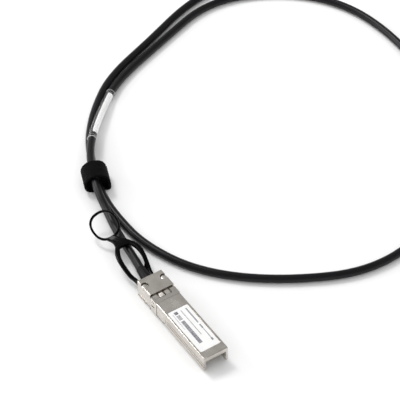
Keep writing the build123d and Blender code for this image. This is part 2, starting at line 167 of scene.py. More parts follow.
# Loop pile of the tie: nearly black, no gloss, with a soft sheen
loop_pile = surface_material(
    "black loop pile", ("030303", "0a0a0a"), (0.9, 1.0), 0.5, 0.25, specular=0.1, patch_mm=1.2, sheen=0.04
)
# White film label, slightly glossy
label_film = surface_material("white label film", ("e6e6e5", "ebebea"), (0.35, 0.42), 0.3, 0.001)
# Bright white paper of the marker, dull
marker_paper = surface_material("white marker paper", ("fafaf9", "fcfcfc"), (0.5, 0.6), 0.3, 0.001)
# Ink of the printed marks, dark and pale, uneven as thermal print is
dark_ink = surface_material("dark grey ink", ("5a5a63", "8a8a92"), (0.5, 0.6), 0.2, 0.001, patch_mm=1.2)
pale_ink = surface_material("pale grey ink", ("6b6b75", "93939c"), (0.5, 0.6), 0.2, 0.001, patch_mm=1.2)
# Green solder mask over the card, glossy
solder_mask = surface_material(
    "green solder mask", ("17492c", "1d5a36"), (0.28, 0.36), 0.4, 0.003, patch_mm=2.0
)
# Hard gold plating of the contacts, bright yellow
gold_plating = surface_material(
    "gold plating", ("d3a94b", "e0bb62"), (0.2, 0.28), 0.3, 0.001, metallic=1.0
)
# Moulded epoxy of the memory chip: dull and nearly black
black_epoxy = surface_material("black moulded epoxy", ("1b1b1d", "232325"), (0.45, 0.55), 0.1, 0.004)
# Foamed polyethylene round the conductors: milky white
white_insulation = surface_material(
    "white foamed insulation", ("e0dcd2", "ebe8e0"), (0.4, 0.5), 0.4, 0.002
)
# Tinned copper of the bare wire ends: a plain grey shine
tinned_wire = surface_material("tinned copper", ("bdbab4", "ccc9c4"), (0.2, 0.3), 0.2, 0.002, metallic=1.0)
# Nickel plated brass of the crimp ferrule: a darker, yellower grey
crimp_brass = surface_material(
    "nickel plated brass", ("b0a898", "bbb4a6"), (0.25, 0.34), 0.3, 0.002, metallic=1.0
)


def clear_plastic(name, haze, open_share):
    """Clear polyolefin: glassy, with a little white haze, and partly open to the light as thin film is."""
    made, tree, out = new_material(name)
    where = node(tree, "ShaderNodeTexCoord").outputs["Object"]
    ripple = node(tree, "ShaderNodeTexNoise", {"Scale": 1000 / RIPPLE_MM, "Detail": 2.0}, {"Vector": where})
    bump = node(
        tree,
        "ShaderNodeBump",
        {"Strength": 0.6, "Distance": RIPPLE_DEPTH_MM * MM},
        {"Height": ripple.outputs["Fac"]},
    )
    body = node(
        tree,
        "ShaderNodeBsdfPrincipled",
        {"Base Color": linear("ffffff"), "Roughness": 0.12, "Transmission Weight": 1 - haze, "IOR": 1.46},
        {"Normal": bump.outputs["Normal"]},
    )
    film = node(tree, "ShaderNodeBsdfTransparent", {"Color": linear("fdfdfd")})
    mix = node(tree, "ShaderNodeMixShader", {0: open_share}, {1: body.outputs[0], 2: film.outputs[0]})
    tree.links.new(mix.outputs[0], out.inputs["Surface"])
    return made


# Clear shrink sleeve over the marker: only its reflections show
clear_sleeve = clear_plastic("clear shrink sleeve", 0.1, 0.88)
# The sleeve's cut ends, which look milky
sleeve_edge = clear_plastic("cut edge of the clear sleeve", 0.6, 0.1)

# The finish of each piece of a plug
FINISH = {
    "base_shell": cast_nickel,
    "cover_shell": cast_nickel,
    "spring_collar": spring_strip,
    "release_slide": nickel_sheet,
    "pull_tab": black_nylon,
    "latch_lever": nickel_sheet,
    "pivot_pin": nickel_sheet,
    "return_spring": spring_strip,
    "paddle_card": solder_mask,
    "contact_pads": gold_plating,
    "memory_chip": black_epoxy,
    "twinax_cores": white_insulation,
    "conductor_ends": tinned_wire,
    "ferrule": crimp_brass,
    "boot": black_elastomer,
    "cover_pins": nickel_sheet,
    "label": label_film,
}


def dress(piece, finish):
    """Gives a piece one finish all over."""
    piece.data.materials.clear()
    piece.data.materials.append(finish)


for prefix in PLUGS:
    for name, finish in FINISH.items():
        dress(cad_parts[f"{prefix}_{name}"], finish)


# Modelling helpers


def deselect():
    """Back to object mode with nothing selected."""
    if bpy.context.object and bpy.context.object.mode != "OBJECT":
        bpy.ops.object.mode_set(mode="OBJECT")
    bpy.ops.object.select_all(action="DESELECT")


def only(piece):
    """Selects one piece and makes it the active one."""
    deselect()
    piece.select_set(True)
    bpy.context.view_layer.objects.active = piece


def settle(piece, place):
    """Moves a piece by a matrix and applies the move to its mesh."""
    only(piece)
    piece.matrix_world = place
    bpy.ops.object.transform_apply(location=True, rotation=True, scale=True)


def join(pieces):
    """Joins pieces into the first of them."""
    only(pieces[0])
    for piece in pieces[1:]:
        piece.select_set(True)
    bpy.ops.object.join()


def use(piece, kind, **settings):
    """Adds a modifier to a piece and applies it."""
    only(piece)
    made = piece.modifiers.new(kind, kind)
    for name, value in settings.items():
        setattr(made, name, value)
    bpy.ops.object.modifier_apply(modifier=made.name)


def smooth(piece, degrees=35):
    """Smooth shading up to an angle between faces."""
    only(piece)
    bpy.ops.object.shade_smooth_by_angle(angle=math.radians(degrees))


def place_selected(piece, before, after):
    """Each selected corner goes from its place in one ring to the same place in the next."""
    mesh = bmesh.from_edit_mesh(piece.data)
    for vertex in mesh.verts:
        if vertex.select:
            nearest = min(range(len(before)), key=lambda i: (before[i] - vertex.co).length_squared)
            vertex.co = after[nearest]
    bmesh.update_edit_mesh(piece.data)


def loft(name, rings, closed=False):
    """A disc shaped onto the first ring and extruded from ring to ring; closed joins last and first."""
    deselect()
    fill = "NOTHING" if closed else "NGON"
    bpy.ops.mesh.primitive_circle_add(vertices=len(rings[0]), radius=0.01, fill_type=fill)
    piece = bpy.context.object
    piece.name = piece.data.name = name
    rings = [[Vector(p) * MM for p in ring] for ring in rings]
    bpy.ops.object.mode_set(mode="EDIT")
    bpy.ops.mesh.select_all(action="SELECT")
    mesh = bmesh.from_edit_mesh(piece.data)
    mesh.verts.ensure_lookup_table()
    for vertex, place in zip(mesh.verts, rings[0]):
        vertex.co = place
    bmesh.update_edit_mesh(piece.data)
    for before, after in zip(rings, rings[1:]):
        bpy.ops.mesh.extrude_region_move()
        place_selected(piece, before, after)
    if closed:
        mesh = bmesh.from_edit_mesh(piece.data)
        for edge in mesh.edges:
            edge.select = edge.is_boundary
        mesh.select_flush_mode()
        bpy.ops.mesh.bridge_edge_loops()
    bpy.ops.mesh.select_all(action="SELECT")
    bpy.ops.mesh.normals_make_consistent(inside=False)
    bpy.ops.object.mode_set(mode="OBJECT")
    return piece


def plate(name, outline, start, end):
    """An outline given as (along, up) pairs in the YZ plane, extruded across from start to end."""
    return loft(name, [[(x, y, z) for y, z in outline] for x in (start, end)])


def slab(name, outline, bottom, top):
    """An outline given as (x, y) pairs, extruded upward."""
    return loft(name, [[(x, y, z) for x, y in outline] for z in (bottom, top)])


def turned(name, place, profile, sides=32):
    """A turned piece standing upright: rings of (radius, height) above a place."""
    rings = []
    for radius, height in profile:
        angles = [2 * math.pi * i / sides for i in range(sides)]
        rings.append(
            [(place[0] + radius * math.cos(a), place[1] + radius * math.sin(a), height) for a in angles]
        )
    return loft(name, rings)


def block(name, x, y, z):
    """A box between two limits on each axis."""
    deselect()
    middle = [(a[0] + a[1]) / 2 * MM for a in (x, y, z)]
    bpy.ops.mesh.primitive_cube_add(size=1, location=middle)
    piece = bpy.context.object
    piece.name = piece.data.name = name
    piece.scale = [(a[1] - a[0]) * MM for a in (x, y, z)]
    bpy.ops.object.transform_apply(location=True, rotation=True, scale=True)
    return piece


def both_sides(x, y, z):
    """Two blocks, the second mirrored across the middle."""
    return [block("right", x, y, z), block("left", (-x[1], -x[0]), y, z)]


def drum(name, radius, start, end, sides=48):
    """A round bar between two points."""
    deselect()
    a, b = Vector(start) * MM, Vector(end) * MM
    turn = (b - a).to_track_quat("Z", "Y").to_euler()
    bpy.ops.mesh.primitive_cylinder_add(
        vertices=sides, radius=radius * MM, depth=(b - a).length, location=(a + b) / 2, rotation=turn
    )
    piece = bpy.context.object
    piece.name = piece.data.name = name
    bpy.ops.object.transform_apply(location=True, rotation=True, scale=True)
    return piece


def combine(piece, tools, operation="DIFFERENCE"):
    """Cuts the tools out of a piece, or joins them to it, and removes them."""
    for tool in tools:
        use(piece, "BOOLEAN", object=tool, operation=operation, solver="EXACT")
        bpy.data.objects.remove(tool, do_unlink=True)
    return piece


def bevel_where(piece, width, test, segments=3):
    """Bevels the edges whose two ends pass a test given in millimetres."""
    only(piece)
    bpy.ops.object.mode_set(mode="EDIT")
    bpy.ops.mesh.select_all(action="DESELECT")
    bpy.ops.mesh.select_mode(type="EDGE")
    mesh = bmesh.from_edit_mesh(piece.data)
    for edge in mesh.edges:
        ends = [v.co / MM for v in edge.verts]
        edge.select = test(ends[0], ends[1])
    bmesh.update_edit_mesh(piece.data)
    bpy.ops.mesh.bevel(offset=width * MM, segments=segments, affect="EDGES")
    bpy.ops.object.mode_set(mode="OBJECT")


def finish_casting(piece):
    """A small bevel on all sharp edges, and shading in which large flat faces keep their own direction."""
    sharp = math.radians(CASTING_ANGLE)
    use(piece, "BEVEL", width=CASTING_EDGE * MM, segments=2, limit_method="ANGLE", angle_limit=sharp)
    smooth(piece, CASTING_ANGLE)
    use(piece, "WEIGHTED_NORMAL", mode="FACE_AREA", weight=50, keep_sharp=True)


def arc(centre, radius, start, end, steps=6):
    """Points on an arc between two angles in degrees."""
    angles = [math.radians(start + (end - start) * i / steps) for i in range(steps + 1)]
    return [(centre[0] + radius * math.cos(a), centre[1] + radius * math.sin(a)) for a in angles]


def rounded(x, y, radius, steps=5):
    """Outline of a rectangle with round corners."""
    points = []
    corners = (
        (x[1] - radius, y[0] + radius, -90),
        (x[1] - radius, y[1] - radius, 0),
        (x[0] + radius, y[1] - radius, 90),
        (x[0] + radius, y[0] + radius, 180),
    )
    for cx, cy, start in corners:
        points += arc((cx, cy), radius, start, start + 90, steps)
    return points


def smooth_line(points, steps):
    """Catmull-Rom curve through points."""
    points = [Vector(p) for p in points]
    ends = [points[0] * 2 - points[1], *points, points[-1] * 2 - points[-2]]
    out = []
    for a, b, c, d in zip(ends, ends[1:], ends[2:], ends[3:]):
        for i in range(steps):
            t = i / steps
            square, cube = 2 * a - 5 * b + 4 * c - d, 3 * b - a - 3 * c + d
            out.append(0.5 * (2 * b + (c - a) * t + square * t * t + cube * t**3))
    return out + [points[-1]]


def hand_over(piece, prefix, finish, body, *stands_for):
    """Moves a piece to its plug, dresses it where a finish is given, ties it to its body and hides the
    solids of the nodes it stands for.
    """
    piece.name = piece.data.name = f"{prefix}_{piece.name}_piece"
    settle(piece, PLACE[prefix] @ piece.matrix_world)
    if finish:
        dress(piece, finish)
    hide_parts(*(f"{prefix}_{name}" for name in stands_for))
    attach(piece, body)
    return piece


# Sizes of a plug, as in the part's source. A pair is the two ends along an axis

NOSE = (-47.5, 0.0)
NOSE_HALF = 6.775
NOSE_BOTTOM, NOSE_TOP = 0.5, 9.2
BLOCK = (0.0, 11.6)
BLOCK_HALF = 6.95
BLOCK_TOP = 10.4
PARTING = 6.6
# How far the nose reaches into the block, for the two to melt into one
OVERLAP = 0.5

# The shells' edges: the lip's round, the bevels of nose and block, and the fine radius of all the others
LIP_RADIUS = 0.4
NOSE_BEVEL = 0.35
BLOCK_BEVEL = 0.3
CASTING_EDGE = 0.07
CASTING_ANGLE = 35
# Two edges this near to each other count as one height, and an edge this long is a side of the nose
NEAR = 0.01
LONG_EDGE = 5

# Room for the card and the conductors
INNER = 5.675
CARD_SPACE_TOP = 8.1
CARD_SPACE_REAR = -16
CORE_HALF = 4.5
CORE_SPACE = (-17, 5.4)
CORE_TOP = 7.6
FLOOR_FRONT = -37.1
THIN_FLOOR, THICK_FLOOR = 1.6, 4.3
LEDGE = ((4.8, INNER + 0.2), (FLOOR_FRONT, -18.0), (1.5, 2.75))
# The cover's front lip: how far it reaches back and down over the mouth
LIP_REAR = -46.6
LIP_BOTTOM = 6.75

# Seats of the cable's end on its axis: radius and ends
AXIS = 5.15
SEATS = (("ferrule seat", 3.0, 5.2, 9.1), ("flange seat", 3.8, 9.1, 10.3), ("neck seat", 3.0, 9.2, 12.6))
# Channels of the slide's arms along both sides
CHANNEL = rounded((-13.8, 14.6), (0.75, 7.45), 2.85)
CHANNEL_DEPTH = 6.275
# Pockets of the latch, its tail and the crossbar in the lower shell
LATCH_HALF = 2.5
LATCH_POCKET, LATCH_POCKET_TOP = (-15.5, 5.2), 3.0
TAIL_SPACE, TAIL_SPACE_TOP = (-6.0, 5.2), 3.9
CROSSBAR_SPACE, CROSSBAR_SPACE_TOP = (0.7, 4.5), 2.0
PIVOT = (-14, 1.6)
PIVOT_RADIUS, PIVOT_HALF = 0.5, 4
# Two grooves along each side of the nose: heights, half width, depth and rear end
GROOVES = (3.2, 4.9)
GROOVE_HALF, GROOVE_DEPTH, GROOVE_REAR = 0.17, 0.3, -15.0

# Pins that hold the cover
PIN = (5.5, 7.0)
PIN_FOOT, PIN_HOLE_TOP, PIN_HOLE = 2.0, 9.2, 0.7
PIN_POCKET, PIN_POCKET_FLOOR = 1.9, 8.6
# Shaft and domed head of a pin: radius and height
PIN_PROFILE = (
    (0.69, PIN_FOOT),
    (0.69, PIN_POCKET_FLOOR),
    (1.6, PIN_POCKET_FLOOR),
    (1.6, 9.45),
    (1.5, 9.6),
    (1.3, 9.66),
    (0.7, 9.7),
    (0.1, 9.71),
)

# Spring collar with its windows and fingers
SHEET = 0.15
COLLAR = (-5.5, -0.55)
LATCH_GAP = 2.9
WINDOW_HALF = 6.1
WINDOW_FRONT = -3.4
FINGER = (-3.5, -0.65)
# Fingers over the top: middle x, tilt to the front and roll to one side in degrees, as slightly bent strips
TOP_FINGERS = ((-4.95, -0.08, 0), (-1.65, -0.05, 7.5), (1.65, -0.05, 4.5), (4.95, -0.08, 1))
TOP_RISE, TOP_FINGER_HALF = 0.42, 1.15
# Fingers on both sides: heights, rise, half width and half height of their windows
SIDE_FINGERS = (3.2, 6.4)
SIDE_RISE, SIDE_FINGER_HALF, SIDE_WINDOW_HALF = 0.3, 1.0, 1.1
# Relief in the cover under the top fingers
RELIEF_REAR = COLLAR[1] - 0.1
RELIEF_FRONT, RELIEF_FLOOR, RELIEF_STEP = -3.3, 8.75, 8.3

LABEL = (-42.93, -13.73)
LABEL_HALF = 5.7
LABEL_BOTTOM = 9.02
LABEL_THICK = 0.1
LABEL_CORNER = 0.8
RECESS_HALF, RECESS_GAP, RECESS_CORNER = 5.9, 0.2, 1.0

# Places beyond the plug that cutting tools reach
AHEAD, BEHIND, BELOW, ABOVE, ASIDE = -49, 2, -1, 11, 8.0


# Castings, pins and collar of a plug


def shell_tools():
    """Cable seat, arm channels and pin holes, cut alike from both shells."""
    tools = [drum(name, radius, (0, start, AXIS), (0, end, AXIS)) for name, radius, start, end in SEATS]
    tools.append(plate("channel", CHANNEL, CHANNEL_DEPTH, ASIDE))
    tools.append(plate("channel", CHANNEL, -ASIDE, -CHANNEL_DEPTH))
    for x in (-PIN[0], PIN[0]):
        tools.append(drum("pin hole", PIN_HOLE, (x, PIN[1], PIN_FOOT), (x, PIN[1], PIN_HOLE_TOP), 24))
        tools.append(drum("pin pocket", PIN_POCKET, (x, PIN[1], PIN_POCKET_FLOOR), (x, PIN[1], 11.4), 40))
    return tools


def cover_shell(prefix):
    """Upper casting: rounded nose with a turned-down lip, label recess, finger relief and raised block."""
    front = arc((NOSE[0] + LIP_RADIUS, NOSE_TOP - LIP_RADIUS), LIP_RADIUS, 180, 90, 3)
    step = [(RELIEF_REAR, NOSE_TOP), (RELIEF_REAR, RELIEF_STEP), (OVERLAP, RELIEF_STEP), (OVERLAP, PARTING)]
    cover = plate("cover_shell", [(NOSE[0], PARTING), *front, *step], -NOSE_HALF, NOSE_HALF)

    def nose_side(a, b):
        return min(a.z, b.z) > NOSE_TOP - NEAR and abs(a.x - b.x) < NEAR and abs(a.y - b.y) > LONG_EDGE

    bevel_where(cover, NOSE_BEVEL, nose_side)
    rear = block("rear", (-BLOCK_HALF, BLOCK_HALF), BLOCK, (PARTING, BLOCK_TOP))
    bevel_where(rear, BLOCK_BEVEL, lambda a, b: min(a.z, b.z) > BLOCK_TOP - NEAR and max(a.y, b.y) > 1)
    combine(cover, [rear], "UNION")
    card_space = (
        (LIP_REAR, CARD_SPACE_TOP),
        (LIP_REAR, LIP_BOTTOM),
        (AHEAD, LIP_BOTTOM),
        (AHEAD, 6),
        (CARD_SPACE_REAR, 6),
        (CARD_SPACE_REAR, CARD_SPACE_TOP),
    )
    relief = (RELIEF_FRONT, RELIEF_REAR + 0.1)
    recess = rounded(
        (-RECESS_HALF, RECESS_HALF), (LABEL[0] - RECESS_GAP, LABEL[1] + RECESS_GAP), RECESS_CORNER
    )
    tools = [
        plate("card space", card_space, -INNER, INNER),
        block("core space", (-CORE_HALF, CORE_HALF), CORE_SPACE, (6, CORE_TOP)),
        block("finger relief", (-WINDOW_HALF, WINDOW_HALF), relief, (RELIEF_FLOOR, ABOVE)),
        slab("label recess", recess, LABEL_BOTTOM, ABOVE),
    ]
    combine(cover, tools + shell_tools())
    finish_casting(cover)
    return hand_over(cover, prefix, cast_nickel, "body", "cover_shell")


def base_shell(prefix):
    """Lower casting: open nose floor, card ledges, latch pocket and two grooves along each side."""
    base = block("base_shell", (-NOSE_HALF, NOSE_HALF), (NOSE[0], OVERLAP), (NOSE_BOTTOM, PARTING))
    combine(base, [block("rear", (-BLOCK_HALF, BLOCK_HALF), BLOCK, (0, PARTING))], "UNION")
    across, latch_across = (-INNER, INNER), (-LATCH_HALF, LATCH_HALF)
    tools = [
        block("card space", across, (AHEAD, CARD_SPACE_REAR), (THIN_FLOOR, ASIDE)),
        block("open floor", across, (AHEAD, FLOOR_FRONT), (BELOW, ASIDE)),
        block("core space", (-CORE_HALF, CORE_HALF), CORE_SPACE, (THICK_FLOOR, ASIDE)),
        block("latch pocket", latch_across, LATCH_POCKET, (BELOW, LATCH_POCKET_TOP)),
        block("tail space", latch_across, TAIL_SPACE, (BELOW, TAIL_SPACE_TOP)),
        block("crossbar space", (-ASIDE, ASIDE), CROSSBAR_SPACE, (BELOW, CROSSBAR_SPACE_TOP)),
        drum("pivot hole", PIVOT_RADIUS, (-PIVOT_HALF, *PIVOT), (PIVOT_HALF, *PIVOT), 24),
    ]
    for z in GROOVES:
        height = (z - GROOVE_HALF, z + GROOVE_HALF)
        tools += both_sides((NOSE_HALF - GROOVE_DEPTH, ASIDE), (AHEAD, GROOVE_REAR), height)
    combine(base, tools + shell_tools())
    combine(base, both_sides(*LEDGE), "UNION")
    finish_casting(base)
    return hand_over(base, prefix, cast_nickel, "body", "base_shell")


def cover_pins(prefix):
    """Two domed pin heads on their shafts."""
    pins = [turned("cover_pins", (x, PIN[1]), PIN_PROFILE) for x in (-PIN[0], PIN[0])]
    join(pins)
    smooth(pins[0], 40)
    return hand_over(pins[0], prefix, nickel_sheet, "body", "cover_pins")


def finger(rise, tilt, x, half, roll=0.0):
    """One bowed contact finger on the top face: an arched strip, tilted to the front and rolled sideways."""
    start, end = FINGER
    crown = (start + end) / 2
    line = [
        (start, 0.0),
        (start + 0.35, rise + tilt),
        (crown, rise),
        (end - 0.2, rise - tilt),
        (end, rise * 0.4),
    ]
    base = NOSE_TOP + SHEET / 2
    upper = [(a, base + b + SHEET / 2) for a, b in line]
    lower = [(a, base + b - SHEET / 2) for a, b in reversed(line)]
    strip = plate("finger", upper + lower, x - half, x + half)
    pivot = Matrix.Translation(Vector((x, crown, base)) * MM)
    settle(strip, pivot @ Matrix.Rotation(-math.radians(roll), 4, "Y") @ pivot.inverted())
    return strip


def spring_collar(prefix):
    """Spring strip wrapped round the nose, its windows spanned by bowed contact fingers."""
    outer = NOSE_HALF + SHEET
    collar = block("spring_collar", (-outer, outer), COLLAR, (NOSE_BOTTOM - SHEET, NOSE_TOP + SHEET))
    window = (WINDOW_FRONT, BEHIND)
    tools = [
        block("nose", (-NOSE_HALF, NOSE_HALF), (-8, BEHIND), (NOSE_BOTTOM, NOSE_TOP)),
        block("latch gap", (-LATCH_GAP, LATCH_GAP), (-8, BEHIND), (BELOW, 1.5)),
        block("window", (-WINDOW_HALF, WINDOW_HALF), window, (8.9, 10)),
    ]
    for z in SIDE_FINGERS:
        tools += both_sides((6.0, ASIDE), window, (z - SIDE_WINDOW_HALF, z + SIDE_WINDOW_HALF))
    combine(collar, tools)
    parts = [collar]
    for x, tilt, roll in TOP_FINGERS:
        parts.append(finger(TOP_RISE, tilt, x, TOP_FINGER_HALF, roll))
    for z in SIDE_FINGERS:
        for side in (-1, 1):
            strip = finger(SIDE_RISE, 0.0, 0, SIDE_FINGER_HALF)
            turn = Matrix.Translation((side * -(NOSE_TOP - NOSE_HALF) * MM, 0, z * MM))
            settle(strip, turn @ Matrix.Rotation(side * math.pi / 2, 4, "Y"))
            parts.append(strip)
    join(parts)
    smooth(collar, 25)
    return hand_over(collar, prefix, spring_strip, "body", "spring_collar")


# Cable

CABLE_RADIUS = 2.15
CABLE_START = 5.4
# The route of the cable's middle, from the first plug to the second
ROUTE = (
    (0, CABLE_START, 5.15),
    (0, 15, 5.15),
    (2.9, 32, 4.35),
    (5.6, 52, 3.0),
    (8.8, 67, 4.2),
    (10.6, 78.5, 7.2),
    (15.0, 91.5, 8.5),
    (22.2, 106, 8.0),
    (31, 118, 6.85),
    (44.5, 132.5, 4.4),
    (66.5, 152.5, 2.15),
    (108, 168.6, 2.15),
    (150, 184, 2.15),
    (190, 170, 2.15),
    (216, 139, 2.15),
    (222, 98, 2.15),
    (214, 49, 2.15),
    (189, 5, 2.15),
    (150, -32, 2.15),
    (101, -43, 2.15),
    (56, -21.5, 2.15),
    (26, 5.5, 2.15),
    (12.8, 36, 2.15),
    (11.6, 63, 2.3),
    (13.2, 79.5, 3.7),
    (17.6, 93.5, 4.1),
    (23.6, 108.3, 3.2),
    (31.5, 123.2, 2.2),
    (45.5, 140.2, 2.15),
    (66, 158, 2.15),
    (102.5, 172.8, 2.15),
    (135, 187.5, 2.15),
    (163, 192.5, 2.15),
    (187.9, 185.3, 4.35),
    (203, 179.5, 5.15),
    (211.3235, 174.7, 5.15),
)


def route_line(steps=12):
    """Points along the middle of the cable, the same smooth line that the spline draws."""
    points = [Vector(p) for p in ROUTE]
    middles = [points[0]] + [(p + q) / 2 for p, q in zip(points[1:-2], points[2:-1])] + [points[-1]]
    line = []
    for start, corner, end in zip(middles, points[1:], middles[1:]):
        for i in range(steps):
            t = i / steps
            line.append(start * (1 - t) ** 2 + corner * (2 * t * (1 - t)) + end * t**2)
    return line + [middles[-1]]


LINE = route_line()


def along(distance):
    """Place and direction on the cable at a distance from its first end."""
    for here, there in zip(LINE, LINE[1:]):
        step = (there - here).length
        if distance <= step:
            return here.lerp(there, distance / step), (there - here).normalized()
        distance -= step
    return LINE[-1], (LINE[-1] - LINE[-2]).normalized()


def ring_round(distance, radius, sides=28, start=0.0, sweep=360.0):
    """A ring of points round the cable, counted from its upper side."""
    place, ahead = along(distance)
    side = ahead.cross(Vector((0, 0, 1))).normalized()
    up = side.cross(ahead)
    count = sides if sweep >= 360 else sides + 1
    out = []
    for i in range(count):
        angle = math.radians(start + sweep * i / sides)
        out.append(place + side * (radius * math.sin(angle)) + up * (radius * math.cos(angle)))
    return out


def cable_curve():
    """The cable as one open spline through the route, with its real diameter."""
    data = bpy.data.curves.new("cable", "CURVE")
    data.dimensions = "3D"
    line = data.splines.new("NURBS")
    line.points.add(len(ROUTE) - 1)
    for point, place in zip(line.points, ROUTE):
        point.co = (place[0] * MM, place[1] * MM, place[2] * MM, 1)
    line.order_u = 3
    line.use_endpoint_u = True
    line.resolution_u = 10
    data.bevel_depth = CABLE_RADIUS * MM
    data.bevel_resolution = 7
    data.use_fill_caps = True
    made = bpy.data.objects.new("cable_jacket", data)
    bpy.context.scene.collection.objects.link(made)
    dress(made, black_jacket)
    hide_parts("cable")
    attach(made, "body")
    return made


cable = cable_curve()


# Pull tab of a plug

# Stations of the tab's arms: distance behind the block, centre x, centre z, half width, width of one arm
ARM_STATIONS = (
    (1.6, 0.0, 3.8, 5.35, 2.3),
    (5.4, 0.0, 3.8, 5.5, 2.05),
    (8.9, 0.0, 4.2, 6.35, 2.1),
    (12.9, 0.2, 5.6, 7.1, 2.3),
    (16.7, 0.5, 6.7, 7.5, 2.4),
    (20.4, 0.9, 7.15, 7.45, 2.7),
    (23.6, 1.3, 7.3, 6.8, 3.0),
    (27.0, 1.6, 7.3, 5.0, 3.0),
)
# The same for the waisted web, with its twist about the tab's length in place of the arm's width
WEB_STATIONS = (
    (26.0, 1.5, 7.3, 5.6, 0.0),
    (27.9, 1.6, 7.25, 4.5, 2.0),
    (30.6, 1.0, 7.0, 3.2, 8.0),
    (33.2, 0.2, 6.6, 2.5, 13.0),
    (35.8, -0.9, 6.2, 2.3, 17.0),
)
# The low gusset at the root of one arm: distance behind the block, centre x, centre z, half width
GUSSET_STATIONS = (
    (1.6, 3.95, 2.3, 1.25),
    (5.0, 4.1, 2.3, 1.2),
    (8.4, 4.6, 2.65, 1.5),
    (10.8, 5.15, 3.4, 1.45),
    (12.4, 5.6, 4.3, 1.0),
)
TAB_THICK = 1.9
GUSSET_THICK = 1.8
# Lower is squarer: the corners of a bar's section, and the finger ring's outline
SECTION_POWER = 0.55
RING_POWER = 0.86
# Finger ring: centre behind the block, half width and half length, its band, and its pitch and roll
RING_CENTRE = (0.65, 43.7, 7.7)
RING = (7.4, 8.65)
RING_BAND, RING_THICK = 1.25, 1.6
RING_TURN = (11.0, -20.0)
RING_STEPS = 56
# The slots in the arms that take the slide's tongues
TONGUE_SLOT = ((4.215, 4.585), (12.0, 18.62), (3.34, 4.26))
MELT_VOXEL = 0.17


def squared(value, power):
    """A sine or cosine drawn outward, which turns an ellipse into a rounder or squarer rectangle."""
    return math.copysign(abs(value) ** power, value)


def section(centre, across, up, width, thick, sides=16):
    """Ring of points round a bar's section, a rectangle with well rounded corners."""
    points = []
    for i in range(sides):
        angle = 2 * math.pi * i / sides
        u = squared(math.cos(angle), SECTION_POWER) * width / 2
        v = squared(math.sin(angle), SECTION_POWER) * thick / 2
        points.append(Vector(centre) + across * u + up * v)
    return points


X_AXIS, Z_AXIS = Vector((1, 0, 0)), Vector((0, 0, 1))


def tab_arm(lean, side):
    """One arm of the tab, on the left for -1 and on the right for 1."""
    rings = []
    for y, x, z, half, bar in smooth_line(ARM_STATIONS, 4):
        centre = (lean * x + side * (half - bar / 2), BLOCK[1] + y, z)
        rings.append(section(centre, X_AXIS, Z_AXIS, bar, TAB_THICK))
    return loft("pull_tab", rings)


def tab_web(lean):
    """The waisted web between the arms and the ring, twisted about its length."""
    rings = []
    for y, x, z, half, twist in smooth_line(WEB_STATIONS, 4):
        angle = math.radians(lean * twist)
        across = Vector((math.cos(angle), 0, math.sin(angle)))
        up = Vector((-math.sin(angle), 0, math.cos(angle)))
        rings.append(section((lean * x, BLOCK[1] + y, z), across, up, 2 * half, TAB_THICK))
    return loft("web", rings)


def tab_gusset(lean):
    """The low gusset that follows one arm up from its root."""
    rings = []
    for y, x, z, half in GUSSET_STATIONS:
        rings.append(section((lean * x, BLOCK[1] + y, z), X_AXIS, Z_AXIS, 2 * half, GUSSET_THICK))
    return loft("gusset", rings)


def tab_ring(lean):
    """The finger ring, pitched up and rolled to the side."""
    pitch, roll = (math.radians(a) for a in RING_TURN)
    turn = Matrix.Rotation(pitch, 3, "X") @ Matrix.Rotation(roll * lean, 3, "Y")
    middle = Vector((lean * RING_CENTRE[0], BLOCK[1] + RING_CENTRE[1], RING_CENTRE[2]))
    a, b = (half - RING_BAND / 2 for half in RING)
    rings = []
    for i in range(RING_STEPS):
        t = 2 * math.pi * i / RING_STEPS
        c, d = squared(math.cos(t), RING_POWER), squared(math.sin(t), RING_POWER)
        here = Vector((a * c, b * d, 0))
        outward = Vector((b * c, a * d, 0)).normalized()
        rings.append(section(middle + turn @ here, turn @ outward, turn @ Z_AXIS, RING_BAND, RING_THICK, 12))
    return loft("ring", rings, closed=True)


def pull_tab(prefix):
    """The moulded tab: two arms, a waisted web and a finger ring, melted into one smooth form."""
    lean = LEAN[prefix]
    tab = tab_arm(lean, -1)
    join([tab, tab_arm(lean, 1), tab_web(lean), tab_gusset(lean), tab_ring(lean)])
    use(tab, "REMESH", mode="VOXEL", voxel_size=MELT_VOXEL * MM)
    use(tab, "SMOOTH", factor=0.5, iterations=4)
    combine(tab, both_sides(*TONGUE_SLOT))
    smooth(tab, 60)
    return hand_over(tab, prefix, black_nylon, f"{prefix}_slide_body", "pull_tab")


# Strain relief and label of a plug

# Profile of the strain relief along the cable, flange first: place behind the plug's front stop, and radius
BOOT_OUTSIDE = (
    (9.15, 3.74),
    (10.25, 3.74),
    (10.25, 2.96),
    (12.2, 2.95),
    (14.5, 2.84),
    (16.8, 2.68),
    (19.0, 2.52),
    (20.8, 2.44),
    (21.7, 2.38),
    (22.0, 2.28),
)
BOOT_BORE = 2.2
BOOT_INSIDE = tuple((y, BOOT_BORE) for y in (22.0, 19.0, 15.0, 9.15))


def boot(prefix):
    """Strain relief: a flange seated in the block and a neck that tapers along the cable."""
    lean = LEAN[prefix]
    rings = []
    for y, radius in BOOT_OUTSIDE + BOOT_INSIDE:
        ring = ring_round(y - CABLE_START, radius, 36)
        rings.append([Vector((lean * p.x, p.y, p.z)) for p in ring])
    neck = loft("boot", rings, closed=True)
    smooth(neck, 30)
    return hand_over(neck, prefix, black_elastomer, "body", "boot")


